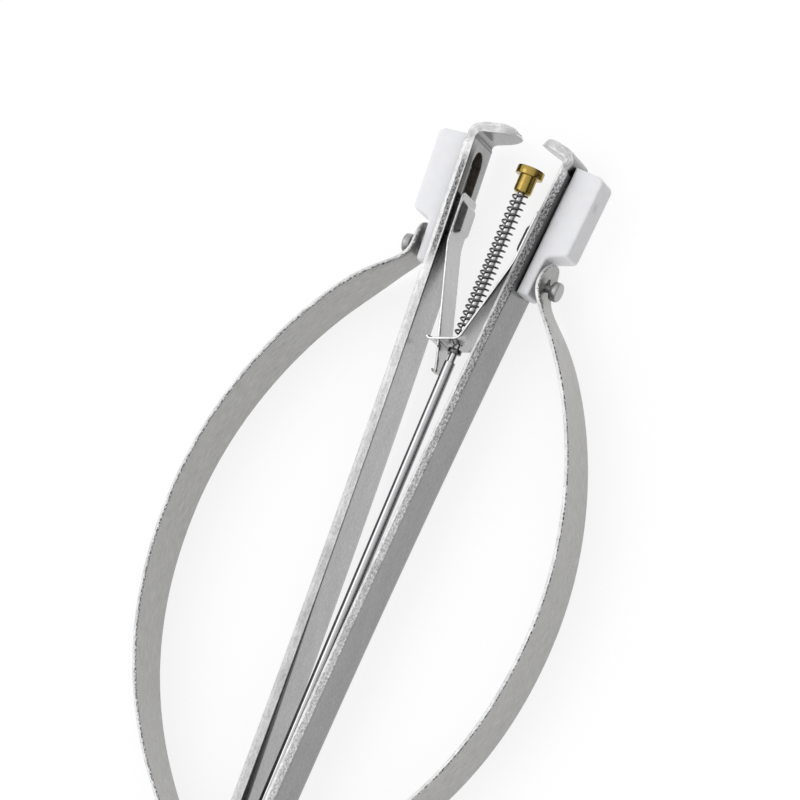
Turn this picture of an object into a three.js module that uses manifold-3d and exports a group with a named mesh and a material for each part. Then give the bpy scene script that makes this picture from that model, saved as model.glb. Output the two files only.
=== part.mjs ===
// Spring-bow watch-hand remover: two slotted jaw arms between two squeezed spring bows,
// with sliding plastic feet, a V of leaf springs and a sprung brass plunger in the middle.
//
// Millimetres. +Y runs from the handle end to the jaws, +X is to the right, and +Z is across
// the width of the strips. The pieces are drawn with Y = 0 at the handle end and Z = 0 in the
// middle of the width. The exported group then moves them, so that the origin lies under the
// middle of the tool, on the surface that it rests on.

import * as THREE from "three";
import { mergeVertices } from "three/addons/utils/BufferGeometryUtils.js";
import Module from "manifold-3d";

const wasm = await Module();
wasm.setup();

// ---------- driving dimensions ----------

const TOTAL_LENGTH = 86.4;
const FIT = 0.05; // clearance between pieces that touch or slide
const CURVE_STEPS = 14;

// Handle end: spacer, arms and bow tails in a riveted stack
const HEAD_LENGTH = 9.5;
const SPACER_HALF = 0.68;
const HEAD_RIVET_Y = [2.3, 5.5];
const HEAD_RIVET_R = 0.7;
const HEAD_RIVET_HEAD_R = 1.35;
const HEAD_RIVET_HEAD = 0.5;
const HEAD_HOLE_R = HEAD_RIVET_R + 0.08;
const TUBE_NOTCH_Y = 7.0;

// Jaw arms
const ARM_THICKNESS = 0.95;
const ARM_WIDTH = 5.3;
const ARM_HEAD_X = 0.74; // inner face beside the spacer
const ARM_TOP = { x: 3.7, y: 72.5 }; // where the straight, slotted top starts
const ARM_SLOPE = 0.069; // sideways lean of the straight top
const ARM_BEND_Y = 84.9;
const ARM_BEND_RADIUS = 0.45;
const TONGUE_TIP = { x: 1.05, y: 85.85 };
const TONGUE_ROOT = { x: 4.5, half: 2.3 }; // just past the bend
const TONGUE_WAIST = { x: 2.9, half: 1.95 }; // where the rounded nose starts
const NOSE_SQUARENESS = { x: 2.0, side: 1.8, tip: 0.8 };
const NIB_FROM_X = 1.65; // from here to the tip the top is ground lower
const NIB_TOP = 86.05;
const RELIEF_NOTCH = 0.35;
const SLOT_HALF_WIDTH = 1.2;

// Feet, measured along the arm from the start of its straight top. They slide 4.2 mm up it.
const FOOT_WIDTH = 3.2;
const FOOT_THICK = 3.15;
const FOOT_THIN = 1.25;
const FOOT_BOTTOM = -0.6;
const FOOT_STEP = 3.95;
const FOOT_TOP = 12.2;
const FOOT_CORNER = 0.85; // outer corner at the jaw end
const LUG_BOTTOM = 2.75;
const LUG_LENGTH = 3.2;
const LUG_HALF_WIDTH = 1.0;
const LUG_REACH = 0.3; // past the arm's inner face
const SLOT_PLAY = 0.12;
const SLOT_TOP = 10.92;

// Bows
const BOW_THICKNESS = 0.38;
const BOW_WIDTH = 6.4;
const BOW_HEAD_X = 1.98; // middle of the strip beside the arms
const BOW_FLEX_GAP = 0.12; // between the stiff lengths that stand for one bending strip
const BOW_WIDEST = { x: 19.0, y: 43.5 };
const BOW_NECK = { x: 7.2, y: 71.85 };
const BOW_END = { x: 6.87, y: 75.65 };
const BOW_SADDLE_CONTROL = { x: 5.95, y: 73.5 };
const EAR_RADIUS = 2.15;
const NECK_HALF_WIDTH = 1.95;
const TAPER_FROM = 66.5;
const TAPER_MIDDLE = 70.1;

// Rivet that holds a bow's ear on its foot
const BOW_RIVET_Y = 1.0;
const BOW_RIVET_R = 0.5;
const BOW_RIVET_HEAD_R = 0.93;
const BOW_RIVET_SEAT = 3.6;
const BOW_RIVET_HEAD = 0.78;
const EAR_HOLE_R = BOW_RIVET_R + 0.1;
const EAR_HOLE_PLAY = 0.3; // the hole is oval, for the bow's end to shift as the bow bends

// Leaf springs
const LEAF_THICKNESS = 0.2;
const LEAF_BEND = { x: 3.45, y: 74.4 };
const LEAF_TOP = { x: LEAF_BEND.x + ARM_SLOPE * 4.7, y: LEAF_BEND.y + 4.7 };
const RIGHT_LEAF_TOP = { x: LEAF_TOP.x + ARM_SLOPE * 0.5, y: LEAF_TOP.y + 0.5 };
const LEFT_LEAF_HALF_WIDTH = 1.95;
const RIGHT_LEAF_HALF_WIDTH = 2.4;
const TAB_RIGHT = { x: 1.4, y: 65.9 };
const TAB_LEFT = { x: -1.26, y: 65.05 };
const TAIL_CROSSING = { x: -0.56, y: 65.27 };
const TAIL_END = { x: -0.18, y: 62.6 };
const LEAF_CORNER = 0.35; // at the top of both leaves
const BOSS_DEPTH = 0.65;
const BOSS_MARGIN = 0.25; // above and below the lug
const BOSS_HALF_WIDTH = 1.5;
const BOSS_CORNER = 0.5;
const BOSS_WALL = 0.2;

// Plunger, rod and tube stand on one axis that leans slightly to the right
const AXIS_LEAN = 0.0135;
const AXIS_X = -0.1; // at the front of the spacer
const TUBE_R = 0.53;
const TUBE_BORE_R = 0.41;
const TUBE_END = 63.9;
const ROD_R = 0.36;
const ROD_BOTTOM = 55;
const ROD_TOP = 82.4;
const TIP_BARREL_R = 0.86;
const TIP_FLANGE_R = 1.33;
const TIP_BOTTOM = 80.95;
const TIP_FLANGE_Y = 82.65;
const TIP_TOP = 83.45;
const RING_R = 0.66;
const RING_Y = [64.75, 65.2];
const COIL_R = 0.68;
const COIL_WIRE_R = 0.12;
const COIL_TURNS = 24;
const COIL_Y = [66.45, 80.8];

const MATERIALS = {
  arm: { color: 0xb9babd, roughness: 0.42, metalness: 0.9 },
  bow: { color: 0xaeadab, roughness: 0.38, metalness: 0.9 },
  leaf: { color: 0xc4c5c6, roughness: 0.3, metalness: 0.95 },
  foot: { color: 0xf0f0f2, roughness: 0.45, metalness: 0 },
  brass: { color: 0xb48f3a, roughness: 0.25, metalness: 1 },
  wire: { color: 0x6d6c70, roughness: 0.25, metalness: 1 },
  rod: { color: 0xc9cacc, roughness: 0.12, metalness: 1 },
  rivet: { color: 0xb0b0b2, roughness: 0.35, metalness: 0.9 },
};

// ---------- solids ----------

function solid(geometry) {
  const bare = geometry.clone();
  bare.deleteAttribute("normal");
  bare.deleteAttribute("uv");
  const merged = mergeVertices(bare, 1e-4);
  const mesh = new wasm.Mesh({
    numProp: 3,
    vertProperties: merged.attributes.position.array,
    triVerts: new Uint32Array(merged.index.array),
  });
  return new wasm.Manifold(mesh);
}

function geometryOf(body) {
  const mesh = body.getMesh();
  const geometry = new THREE.BufferGeometry();
  geometry.setAttribute("position", new THREE.BufferAttribute(mesh.vertProperties, 3));
  geometry.setIndex(new THREE.BufferAttribute(mesh.triVerts, 1));
  geometry.computeVertexNormals();
  return geometry;
}

function named(name, shape, finish) {
  const geometry = shape.isBufferGeometry ? shape : geometryOf(shape);
  const mesh = new THREE.Mesh(geometry, new THREE.MeshStandardMaterial(MATERIALS[finish]));
  mesh.name = name;
  return mesh;
}

// An outline in X and Y, given depth across Z and centred on it.
function plate(outline, width) {
  const settings = { depth: width, bevelEnabled: false, curveSegments: CURVE_STEPS };
  return new THREE.ExtrudeGeometry(outline, settings).translate(0, 0, -width / 2);
}

// An outline drawn in Z and Y, pushed through from x = from to x = to.
function throughX(outline, from, to) {
  const settings = { depth: to - from, bevelEnabled: false, curveSegments: CURVE_STEPS };
  return new THREE.ExtrudeGeometry(outline, settings).rotateY(Math.PI / 2).translate(from, 0, 0);
}

// An outline drawn in X and Z, pushed through from y = from to y = to.
function throughY(outline, from, to) {
  const settings = { depth: to - from, bevelEnabled: false, curveSegments: CURVE_STEPS };
  return new THREE.ExtrudeGeometry(outline, settings).rotateX(-Math.PI / 2).translate(0, from, 0);
}

// A slot with round ends, centred on z = 0, from y = bottom to y = top.
function stadium(halfWidth, bottom, top) {
  const outline = new THREE.Shape();
  outline.absarc(0, top - halfWidth, halfWidth, 0, Math.PI);
  outline.absarc(0, bottom + halfWidth, halfWidth, Math.PI, 2 * Math.PI);
  return outline;
}

// A rectangle with round corners, centred on z = 0, from y = bottom to y = top.
function roundedBox(half, bottom, top, radius) {
  const side = half - radius;
  const outline = new THREE.Shape();
  outline.absarc(side, top - radius, radius, 0, Math.PI / 2);
  outline.absarc(-side, top - radius, radius, Math.PI / 2, Math.PI);
  outline.absarc(-side, bottom + radius, radius, Math.PI, 1.5 * Math.PI);
  outline.absarc(side, bottom + radius, radius, 1.5 * Math.PI, 2 * Math.PI);
  return outline;
}

function disc(radius, y) {
  const outline = new THREE.Shape();
  outline.absarc(0, y, radius, 0, 2 * Math.PI);
  return outline;
}

function box(from, to) {
  const size = new THREE.Vector3().subVectors(to, from);
  const middle = new THREE.Vector3().addVectors(from, to).multiplyScalar(0.5);
  return new THREE.BoxGeometry(size.x, size.y, size.z).translate(middle.x, middle.y, middle.z);
}

// The line moved sideways by distance, to the right of its direction.
function offsetLine(points, distance) {
  return points.map((point, i) => {
    const before = points[Math.max(i - 1, 0)];
    const after = points[Math.min(i + 1, points.length - 1)];
    const along = new THREE.Vector2().subVectors(after, before).normalize();
    return new THREE.Vector2(point.x + along.y * distance, point.y - along.x * distance);
  });
}

// A strip seen edge on: the line thickened to one side or both.
function stripOutline(points, left, right) {
  const leftSide = offsetLine(points, -left);
  const rightSide = offsetLine(points, right);
  return new THREE.Shape([...rightSide, ...leftSide.reverse()]);
}

// A corner rounded by a curve that starts and ends at distance reach from it.
function roundCorner(path, before, corner, after, reach) {
  const start = new THREE.Vector2().subVectors(before, corner).setLength(reach).add(corner);
  const end = new THREE.Vector2().subVectors(after, corner).setLength(reach).add(corner);
  path.lineTo(start.x, start.y);
  path.quadraticCurveTo(corner.x, corner.y, end.x, end.y);
}

// ---------- handle end ----------

function spacer() {
  const outline = new THREE.Shape();
  const half = ARM_WIDTH / 2;
  const corner = 1.2;
  outline.moveTo(-half, HEAD_LENGTH);
  outline.lineTo(-half, corner);
  outline.absarc(-half + corner, corner, corner, Math.PI, 1.5 * Math.PI);
  outline.absarc(half - corner, corner, corner, 1.5 * Math.PI, 2 * Math.PI);
  outline.lineTo(half, HEAD_LENGTH);
  let body = solid(throughX(outline, -SPACER_HALF, SPACER_HALF));
  const notch = TUBE_R + FIT;
  const low = new THREE.Vector3(-2, TUBE_NOTCH_Y, -notch);
  body = body.subtract(solid(box(low, new THREE.Vector3(2, HEAD_LENGTH + 1, notch))));
  return drillHead(body);
}

function drillHead(body) {
  let drilled = body;
  for (const y of HEAD_RIVET_Y) {
    drilled = drilled.subtract(solid(throughX(disc(HEAD_HOLE_R, y), -4, 4)));
  }
  return drilled;
}

// A solid rivet across the whole stack, with a domed head at each end.
function headRivet(y) {
  const seat = BOW_HEAD_X + BOW_THICKNESS / 2 + FIT;
  const end = seat + HEAD_RIVET_HEAD;
  const profile = [
    [0, -end],
    [HEAD_RIVET_HEAD_R * 0.55, -end + 0.04],
    [HEAD_RIVET_HEAD_R, -seat - 0.12],
    [HEAD_RIVET_HEAD_R, -seat],
    [HEAD_RIVET_R, -seat],
    [HEAD_RIVET_R, seat],
    [HEAD_RIVET_HEAD_R, seat],
    [HEAD_RIVET_HEAD_R, seat + 0.12],
    [HEAD_RIVET_HEAD_R * 0.55, end - 0.04],
    [0, end],
  ].map(([radius, along]) => new THREE.Vector2(radius, along));
  return new THREE.LatheGeometry(profile, 24).rotateZ(-Math.PI / 2).translate(0, y, 0);
}

// ---------- jaw arm ----------

function armInnerLine() {
  const middleY = (HEAD_LENGTH + ARM_TOP.y) / 2;
  const middleX = ARM_TOP.x - ARM_SLOPE * (ARM_TOP.y - middleY);
  const bend = new THREE.Vector2(ARM_TOP.x + ARM_SLOPE * (ARM_BEND_Y - ARM_TOP.y), ARM_BEND_Y);
  const tip = new THREE.Vector2(TONGUE_TIP.x, TONGUE_TIP.y);
  const path = new THREE.Path();
  path.moveTo(ARM_HEAD_X, 0);
  path.lineTo(ARM_HEAD_X, HEAD_LENGTH);
  path.quadraticCurveTo(middleX, middleY, ARM_TOP.x, ARM_TOP.y);
  roundCorner(path, new THREE.Vector2(ARM_TOP.x, ARM_TOP.y), bend, tip, ARM_BEND_RADIUS);
  path.lineTo(tip.x, tip.y);
  return path.getPoints(CURVE_STEPS);
}

// The tongue seen from the tip: narrower than the arm from the bend on, with a round nose.
function tongueOutline() {
  const half = ARM_WIDTH / 2;
  const outer = TONGUE_ROOT.x + 3.5;
  const { x, side, tip } = NOSE_SQUARENESS;
  const outline = new THREE.Shape();
  outline.moveTo(outer, -half);
  outline.lineTo(outer, half);
  outline.lineTo(TONGUE_ROOT.x, half);
  outline.lineTo(TONGUE_ROOT.x, TONGUE_ROOT.half);
  outline.lineTo(TONGUE_WAIST.x, TONGUE_WAIST.half);
  outline.bezierCurveTo(x, side, TONGUE_TIP.x, tip, TONGUE_TIP.x, 0);
  outline.bezierCurveTo(TONGUE_TIP.x, -tip, x, -side, TONGUE_WAIST.x, -TONGUE_WAIST.half);
  outline.lineTo(TONGUE_ROOT.x, -TONGUE_ROOT.half);
  outline.lineTo(TONGUE_ROOT.x, -half);
  return outline;
}

// Turns and moves a geometry from the arm's sliding frame into the tool's frame.
function intoArmFrame(geometry) {
  return geometry.rotateZ(-Math.atan(ARM_SLOPE)).translate(ARM_TOP.x, ARM_TOP.y, 0);
}

function jawArm() {
  const line = armInnerLine();
  let body = solid(plate(stripOutline(line, 0, ARM_THICKNESS), ARM_WIDTH));
  const jawFrom = ARM_BEND_Y - 0.05;
  const around = solid(
    box(new THREE.Vector3(-1, jawFrom, -4), new THREE.Vector3(7, TOTAL_LENGTH + 2, 4)),
  );
  const tongue = solid(throughY(tongueOutline(), jawFrom - 1, TOTAL_LENGTH + 3));
  body = body.subtract(around.subtract(tongue));
  const ground = [
    [7, TOTAL_LENGTH],
    [NIB_FROM_X, NIB_TOP],
  ];
  for (const [x, y] of ground) {
    const above = new THREE.Vector3(x, TOTAL_LENGTH + 3, 4);
    body = body.subtract(solid(box(new THREE.Vector3(-1, y, -4), above)));
  }
  const slotBottom = LUG_BOTTOM - SLOT_PLAY;
  const slot = throughX(stadium(SLOT_HALF_WIDTH, slotBottom, SLOT_TOP), -2, 3);
  body = body.subtract(solid(intoArmFrame(slot)));
  for (const side of [-1, 1]) {
    const edge = (side * ARM_WIDTH) / 2;
    const relief = new THREE.CylinderGeometry(RELIEF_NOTCH, RELIEF_NOTCH, 4, 12);
    relief.rotateZ(Math.PI / 2).translate(4.6, ARM_BEND_Y, edge);
    body = body.subtract(solid(relief));
  }
  return drillHead(body);
}

// ---------- bow ----------

function bowLowerLine() {
  const start = HEAD_LENGTH + BOW_FLEX_GAP;
  const path = new THREE.Path();
  path.moveTo(BOW_HEAD_X, start);
  const end = BOW_WIDEST.y - BOW_FLEX_GAP / 2;
  path.bezierCurveTo(BOW_HEAD_X, start + 3, BOW_WIDEST.x, 20.4, BOW_WIDEST.x, end);
  return path.getPoints(CURVE_STEPS + 4);
}

function bowUpperLine() {
  const start = BOW_WIDEST.y + BOW_FLEX_GAP / 2;
  const path = new THREE.Path();
  path.moveTo(BOW_WIDEST.x, start);
  path.bezierCurveTo(BOW_WIDEST.x, start + 10.8, 14.2, 64.1, 9.2, 69.48);
  path.lineTo(BOW_NECK.x, BOW_NECK.y);
  path.quadraticCurveTo(BOW_SADDLE_CONTROL.x, BOW_SADDLE_CONTROL.y, BOW_END.x, BOW_END.y);
  return path.getPoints(CURVE_STEPS + 2);
}

// The upper bow seen from the side: full width, a narrow neck, and a round ear.
function earOutline() {
  const half = BOW_WIDTH / 2;
  const neck = NECK_HALF_WIDTH;
  const earY = BOW_END.y - EAR_RADIUS;
  const outline = new THREE.Shape();
  outline.moveTo(-half, 30);
  outline.lineTo(half, 30);
  outline.lineTo(half, TAPER_FROM);
  outline.bezierCurveTo(half, TAPER_MIDDLE, neck, TAPER_MIDDLE, neck, BOW_NECK.y);
  outline.absarc(0, earY, EAR_RADIUS, 0, Math.PI);
  outline.lineTo(-neck, BOW_NECK.y);
  outline.bezierCurveTo(-neck, TAPER_MIDDLE, -half, TAPER_MIDDLE, -half, TAPER_FROM);
  return outline;
}

function bowTail() {
  const outline = new THREE.Shape();
  const half = BOW_WIDTH / 2;
  const corner = 1.6;
  outline.moveTo(-half, HEAD_LENGTH);
  outline.lineTo(-half, corner);
  outline.absarc(-half + corner, corner, corner, Math.PI, 1.5 * Math.PI);
  outline.absarc(half - corner, corner, corner, 1.5 * Math.PI, 2 * Math.PI);
  outline.lineTo(half, HEAD_LENGTH);
  const inner = BOW_HEAD_X - BOW_THICKNESS / 2;
  return drillHead(solid(throughX(outline, inner, inner + BOW_THICKNESS)));
}

function bowLower() {
  const halfThick = BOW_THICKNESS / 2;
  return plate(stripOutline(bowLowerLine(), halfThick, halfThick), BOW_WIDTH);
}

function bowUpper() {
  const halfThick = BOW_THICKNESS / 2;
  const strip = solid(plate(stripOutline(bowUpperLine(), halfThick, halfThick), BOW_WIDTH));
  const ear = solid(throughX(earOutline(), 0, 25));
  const holeY = ARM_TOP.y + BOW_RIVET_Y;
  const reach = EAR_HOLE_R + EAR_HOLE_PLAY;
  const hole = throughX(stadium(EAR_HOLE_R, holeY - reach, holeY + reach), 4, 10);
  return strip.intersect(ear).subtract(solid(hole));
}

// ---------- foot and its rivet, in the arm's sliding frame ----------

function footOutline() {
  const inner = ARM_THICKNESS + FIT;
  const thin = ARM_THICKNESS + FOOT_THIN;
  const thick = ARM_THICKNESS + FOOT_THICK;
  const outline = new THREE.Shape();
  outline.moveTo(inner, FOOT_BOTTOM);
  outline.lineTo(thin - 0.4, FOOT_BOTTOM);
  outline.quadraticCurveTo(thin, FOOT_BOTTOM, thin, FOOT_BOTTOM + 0.4);
  outline.lineTo(thin, FOOT_STEP - 1.0);
  outline.quadraticCurveTo(thin, FOOT_STEP - 0.45, thin + 0.5, FOOT_STEP - 0.35);
  outline.lineTo(thick - 0.5, FOOT_STEP);
  outline.quadraticCurveTo(thick, FOOT_STEP + 0.1, thick, FOOT_STEP + 0.7);
  outline.lineTo(thick, FOOT_TOP - FOOT_CORNER);
  outline.quadraticCurveTo(thick, FOOT_TOP, thick - FOOT_CORNER, FOOT_TOP);
  outline.lineTo(inner, FOOT_TOP);
  return outline;
}

function foot() {
  let body = solid(plate(footOutline(), FOOT_WIDTH));
  const lug = stadium(LUG_HALF_WIDTH, LUG_BOTTOM, LUG_BOTTOM + LUG_LENGTH);
  body = body.add(solid(throughX(lug, -LUG_REACH, ARM_THICKNESS + 0.5)));
  const hole = throughX(disc(BOW_RIVET_R + FIT / 2, BOW_RIVET_Y), ARM_THICKNESS + 0.25, 4);
  return body.subtract(solid(hole));
}

function bowRivet() {
  const bottom = ARM_THICKNESS + 0.3;
  const top = BOW_RIVET_SEAT + BOW_RIVET_HEAD;
  const profile = [
    [0, bottom],
    [BOW_RIVET_R, bottom],
    [BOW_RIVET_R, BOW_RIVET_SEAT],
    [BOW_RIVET_HEAD_R, BOW_RIVET_SEAT],
    [BOW_RIVET_HEAD_R, top - 0.22],
    [BOW_RIVET_HEAD_R - 0.2, top],
    [0, top],
  ].map(([radius, along]) => new THREE.Vector2(radius, along));
  return new THREE.LatheGeometry(profile, 20).rotateZ(-Math.PI / 2).translate(0, BOW_RIVET_Y, 0);
}

// ---------- leaf springs ----------

// The bulge that takes the end of the foot's lug, drawn in the sliding frame of the right arm.
function addBoss(leaf) {
  const back = ARM_TOP.x - LEAF_TOP.x + ARM_SLOPE * (LEAF_TOP.y - ARM_TOP.y);
  const face = -back + LEAF_THICKNESS / 2;
  const bottom = LUG_BOTTOM - BOSS_MARGIN;
  const top = LUG_BOTTOM + LUG_LENGTH + BOSS_MARGIN;
  const root = face - LEAF_THICKNESS / 3;
  const bulge = roundedBox(BOSS_HALF_WIDTH, bottom, top, BOSS_CORNER);
  const outer = throughX(bulge, face - BOSS_DEPTH, root);
  const wall = BOSS_WALL;
  const inside = roundedBox(BOSS_HALF_WIDTH - wall, bottom + wall, top - wall, BOSS_CORNER - wall);
  const pocket = throughX(inside, face - BOSS_DEPTH + wall, face + 1);
  return leaf.add(solid(intoArmFrame(outer))).subtract(solid(intoArmFrame(pocket)));
}

// Side view of a leaf: round top, straight sides, and a tail that narrows if it has one.
function leafOutline(half, topY, taperFrom, endY, endHalf) {
  const outline = new THREE.Shape();
  const corner = LEAF_CORNER;
  outline.moveTo(-endHalf, endY);
  outline.lineTo(endHalf, endY);
  outline.lineTo(half, taperFrom);
  outline.lineTo(half, topY - corner);
  outline.absarc(half - corner, topY - corner, corner, 0, Math.PI / 2);
  outline.absarc(-half + corner, topY - corner, corner, Math.PI / 2, Math.PI);
  outline.lineTo(-half, taperFrom);
  return outline;
}

function rightLeaf() {
  const path = new THREE.Path();
  path.moveTo(TAB_LEFT.x - 0.35, TAB_LEFT.y + 0.2);
  path.lineTo(TAB_LEFT.x, TAB_LEFT.y);
  const tab = new THREE.Vector2(TAB_LEFT.x, TAB_LEFT.y);
  const corner = new THREE.Vector2(TAB_RIGHT.x, TAB_RIGHT.y);
  const bend = new THREE.Vector2(LEAF_BEND.x, LEAF_BEND.y);
  const top = new THREE.Vector2(RIGHT_LEAF_TOP.x, RIGHT_LEAF_TOP.y);
  roundCorner(path, tab, corner, bend, 0.5);
  roundCorner(path, corner, bend, top, 0.5);
  path.lineTo(top.x, top.y);
  const line = path.getPoints(6);
  const half = RIGHT_LEAF_HALF_WIDTH;
  let leaf = solid(plate(stripOutline(line, LEAF_THICKNESS / 2, LEAF_THICKNESS / 2), 2 * half));
  const outline = leafOutline(half, RIGHT_LEAF_TOP.y, 60, 50, half);
  leaf = leaf.intersect(solid(throughX(outline, -6, 6)));
  const window = new THREE.Shape();
  const windowHalf = LEFT_LEAF_HALF_WIDTH + FIT;
  window.moveTo(TAIL_CROSSING.x - 0.24, -windowHalf);
  window.lineTo(TAIL_CROSSING.x + 0.24, -windowHalf);
  window.lineTo(TAIL_CROSSING.x + 0.24, windowHalf);
  window.lineTo(TAIL_CROSSING.x - 0.24, windowHalf);
  leaf = leaf.subtract(solid(throughY(window, 64, 66.5)));
  const hole = new THREE.CylinderGeometry(ROD_R + FIT, ROD_R + FIT, 3, 20);
  leaf = leaf.subtract(solid(ontoAxis(hole.translate(0, TAB_RIGHT.y, 0))));
  return addBoss(leaf);
}

// Built as a right-hand piece and mirrored by its group.
function leftLeaf() {
  const top = new THREE.Vector2(LEAF_TOP.x, LEAF_TOP.y);
  const bend = new THREE.Vector2(LEAF_BEND.x, LEAF_BEND.y);
  const end = new THREE.Vector2(-TAIL_END.x, TAIL_END.y);
  const path = new THREE.Path();
  path.moveTo(end.x + 0.5, end.y + 0.2);
  path.quadraticCurveTo(end.x + 0.15, end.y - 0.3, end.x, end.y);
  const crossing = new THREE.Vector2(-TAIL_CROSSING.x, TAIL_CROSSING.y);
  roundCorner(path, end, crossing, bend, 0.6);
  roundCorner(path, crossing, bend, top, 0.5);
  path.lineTo(top.x, top.y);
  const line = path.getPoints(6);
  const half = LEFT_LEAF_HALF_WIDTH;
  let leaf = solid(plate(stripOutline(line, LEAF_THICKNESS / 2, LEAF_THICKNESS / 2), 2 * half));
  const outline = leafOutline(half, LEAF_TOP.y, TAIL_CROSSING.y, end.y - 0.8, 0.35);
  leaf = leaf.intersect(solid(throughX(outline, -6, 6)));
  return addBoss(leaf);
}

// ---------- plunger, on its leaning axis ----------

function ontoAxis(geometry) {
  return geometry
    .translate(0, -HEAD_LENGTH, 0)
    .rotateZ(-AXIS_LEAN)
    .translate(AXIS_X, HEAD_LENGTH, 0);
}

function ring(innerR, outerR, from, to, sides) {
  const profile = [
    [innerR, from],
    [outerR, from],
    [outerR, to],
    [innerR, to],
    [innerR, from],
  ].map(([radius, along]) => new THREE.Vector2(radius, along));
  return ontoAxis(new THREE.LatheGeometry(profile, sides));
}

function plungerRod() {
  const length = ROD_TOP - ROD_BOTTOM;
  const rod = new THREE.CylinderGeometry(ROD_R, ROD_R, length, 20);
  return ontoAxis(rod.translate(0, ROD_BOTTOM + length / 2, 0));
}

function plungerTip() {
  const bore = ROD_R + 0.02;
  const profile = [
    [0, ROD_TOP + 0.05],
    [bore, ROD_TOP + 0.05],
    [bore, TIP_BOTTOM],
    [TIP_BARREL_R - 0.2, TIP_BOTTOM],
    [TIP_BARREL_R, TIP_BOTTOM + 0.2],
    [TIP_BARREL_R, TIP_FLANGE_Y],
    [TIP_FLANGE_R - 0.06, TIP_FLANGE_Y],
    [TIP_FLANGE_R, TIP_FLANGE_Y + 0.06],
    [TIP_FLANGE_R, TIP_TOP - 0.06],
    [TIP_FLANGE_R - 0.06, TIP_TOP],
    [0, TIP_TOP],
  ].map(([radius, along]) => new THREE.Vector2(radius, along));
  return ontoAxis(new THREE.LatheGeometry(profile, 28));
}

class Helix extends THREE.Curve {
  getPoint(t, target = new THREE.Vector3()) {
    const angle = 2 * Math.PI * COIL_TURNS * t;
    const y = THREE.MathUtils.lerp(COIL_Y[0], COIL_Y[1], t);
    return target.set(COIL_R * Math.cos(angle), y, COIL_R * Math.sin(angle));
  }
}

function plungerSpring() {
  const wire = new THREE.Shape();
  wire.absarc(0, 0, COIL_WIRE_R, 0, 2 * Math.PI);
  const settings = { steps: COIL_TURNS * 11, curveSegments: 3, extrudePath: new Helix() };
  return ontoAxis(new THREE.ExtrudeGeometry(wire, { ...settings, bevelEnabled: false }));
}

// ---------- assembly ----------

function side(name) {
  const group = new THREE.Group();
  group.scale.x = name === "left" ? -1 : 1;
  const sliding = new THREE.Group();
  sliding.position.set(ARM_TOP.x, ARM_TOP.y, 0);
  sliding.rotation.z = -Math.atan(ARM_SLOPE);
  sliding.add(named(name + "_foot", foot(), "foot"));
  sliding.add(named(name + "_bow_rivet", bowRivet(), "rivet"));
  group.add(named(name + "_jaw_arm", jawArm(), "arm"));
  group.add(named(name + "_bow_tail", bowTail(), "bow"));
  group.add(named(name + "_bow_lower", bowLower(), "bow"));
  group.add(named(name + "_bow_upper", bowUpper(), "bow"));
  group.add(sliding);
  return group;
}

const tool = new THREE.Group();
const left = side("left");
const right = side("right");
left.add(named("left_leaf", leftLeaf(), "leaf"));
right.add(named("right_leaf", rightLeaf(), "leaf"));
tool.add(left, right);

tool.add(named("head_spacer", spacer(), "arm"));
tool.add(named("rear_head_rivet", headRivet(HEAD_RIVET_Y[0]), "rivet"));
tool.add(named("front_head_rivet", headRivet(HEAD_RIVET_Y[1]), "rivet"));
tool.add(named("guide_tube", ring(TUBE_BORE_R, TUBE_R, TUBE_NOTCH_Y + FIT, TUBE_END, 24), "rod"));
tool.add(named("plunger_rod", plungerRod(), "rod"));
tool.add(named("plunger_tip", plungerTip(), "brass"));
tool.add(named("plunger_spring", plungerSpring(), "wire"));
tool.add(named("stop_ring", ring(ROD_R + 0.02, RING_R, RING_Y[0], RING_Y[1], 20), "wire"));
tool.position.set(0, -TOTAL_LENGTH / 2, BOW_WIDTH / 2);

const root = new THREE.Group();
root.add(tool);

export default root;
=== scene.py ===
import math

import bpy
import numpy as np
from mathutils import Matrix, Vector
from mathutils.geometry import delaunay_2d_cdt


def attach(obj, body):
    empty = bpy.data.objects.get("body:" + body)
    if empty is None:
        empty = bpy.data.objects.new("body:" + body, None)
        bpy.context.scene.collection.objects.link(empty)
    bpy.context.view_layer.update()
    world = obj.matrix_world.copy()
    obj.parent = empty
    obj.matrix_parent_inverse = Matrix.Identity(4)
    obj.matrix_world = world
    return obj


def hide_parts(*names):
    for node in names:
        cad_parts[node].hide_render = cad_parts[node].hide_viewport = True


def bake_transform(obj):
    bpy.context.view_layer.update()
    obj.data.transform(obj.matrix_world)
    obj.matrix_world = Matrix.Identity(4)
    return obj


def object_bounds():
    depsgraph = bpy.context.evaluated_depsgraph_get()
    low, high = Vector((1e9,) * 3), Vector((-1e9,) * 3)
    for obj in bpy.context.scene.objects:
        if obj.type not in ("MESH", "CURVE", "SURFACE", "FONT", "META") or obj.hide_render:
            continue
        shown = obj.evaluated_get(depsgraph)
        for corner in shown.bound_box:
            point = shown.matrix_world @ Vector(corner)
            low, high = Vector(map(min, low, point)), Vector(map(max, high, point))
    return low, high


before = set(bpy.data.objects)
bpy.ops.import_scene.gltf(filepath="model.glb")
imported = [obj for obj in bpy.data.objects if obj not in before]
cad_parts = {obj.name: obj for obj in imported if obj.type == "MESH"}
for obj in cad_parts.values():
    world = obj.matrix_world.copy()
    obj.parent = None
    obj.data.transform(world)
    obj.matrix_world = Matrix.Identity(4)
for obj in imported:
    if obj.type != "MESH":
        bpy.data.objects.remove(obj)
cad_low, cad_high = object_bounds()
REAR = cad_low.y * 1000
MIDDLE = (cad_low.z + cad_high.z) * 500
LENGTH = (cad_high.y - cad_low.y) * 1000

# Everything below is in millimetres, with Y = 0 at the handle end and Z = 0 mid-width.


def metres(x, y, z=0.0):
    return Vector((x / 1000, (y + REAR) / 1000, (z + MIDDLE) / 1000))


# ---------------------------------------------------------------- materials


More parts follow.
